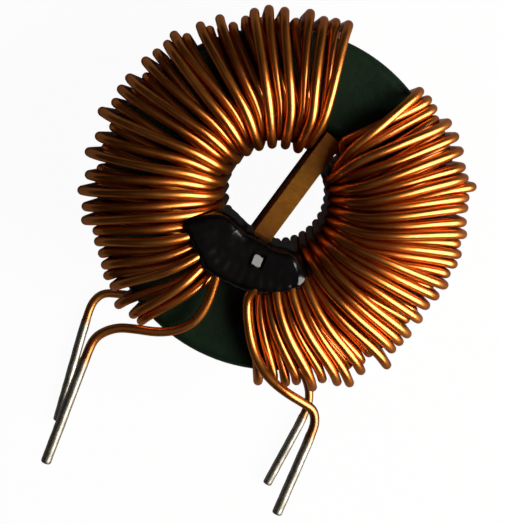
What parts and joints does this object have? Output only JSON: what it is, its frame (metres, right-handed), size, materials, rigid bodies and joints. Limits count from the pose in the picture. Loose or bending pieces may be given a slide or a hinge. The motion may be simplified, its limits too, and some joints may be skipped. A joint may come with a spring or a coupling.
{
  "type": "toroidal inductor",
  "caption": "Toroidal inductor: coated ferrite ring wound with enamelled copper wire on both sides, with a board divider across the hole and tinned wire pins.",
  "frame": {"origin": "on the ring's axis, in the plane that the lowest rear turns rest on", "axes": "+Z along the ring's axis, from the rear face to the front face; -Y is the way the pins point; +X to the right seen from the front with the pins down"},
  "size_m": [0.0319, 0.0434, 0.0179],
  "materials": {
    "ferrite": "matte",
    "green_coating": "satin",
    "enamelled_copper": "gloss",
    "board": "satin",
    "black_adhesive": "gloss",
    "tinned_wire": "satin"
  },
  "bodies": {
    "root": {"ferrite_core": "ferrite", "core_coating": "green_coating", "left_winding": "enamelled_copper", "right_winding": "enamelled_copper", "divider_strip": "board", "adhesive_bead": "black_adhesive", "left_front_tinning": "tinned_wire", "left_rear_tinning": "tinned_wire", "right_front_tinning": "tinned_wire", "right_rear_tinning": "tinned_wire"}
  },
  "joints": []
}
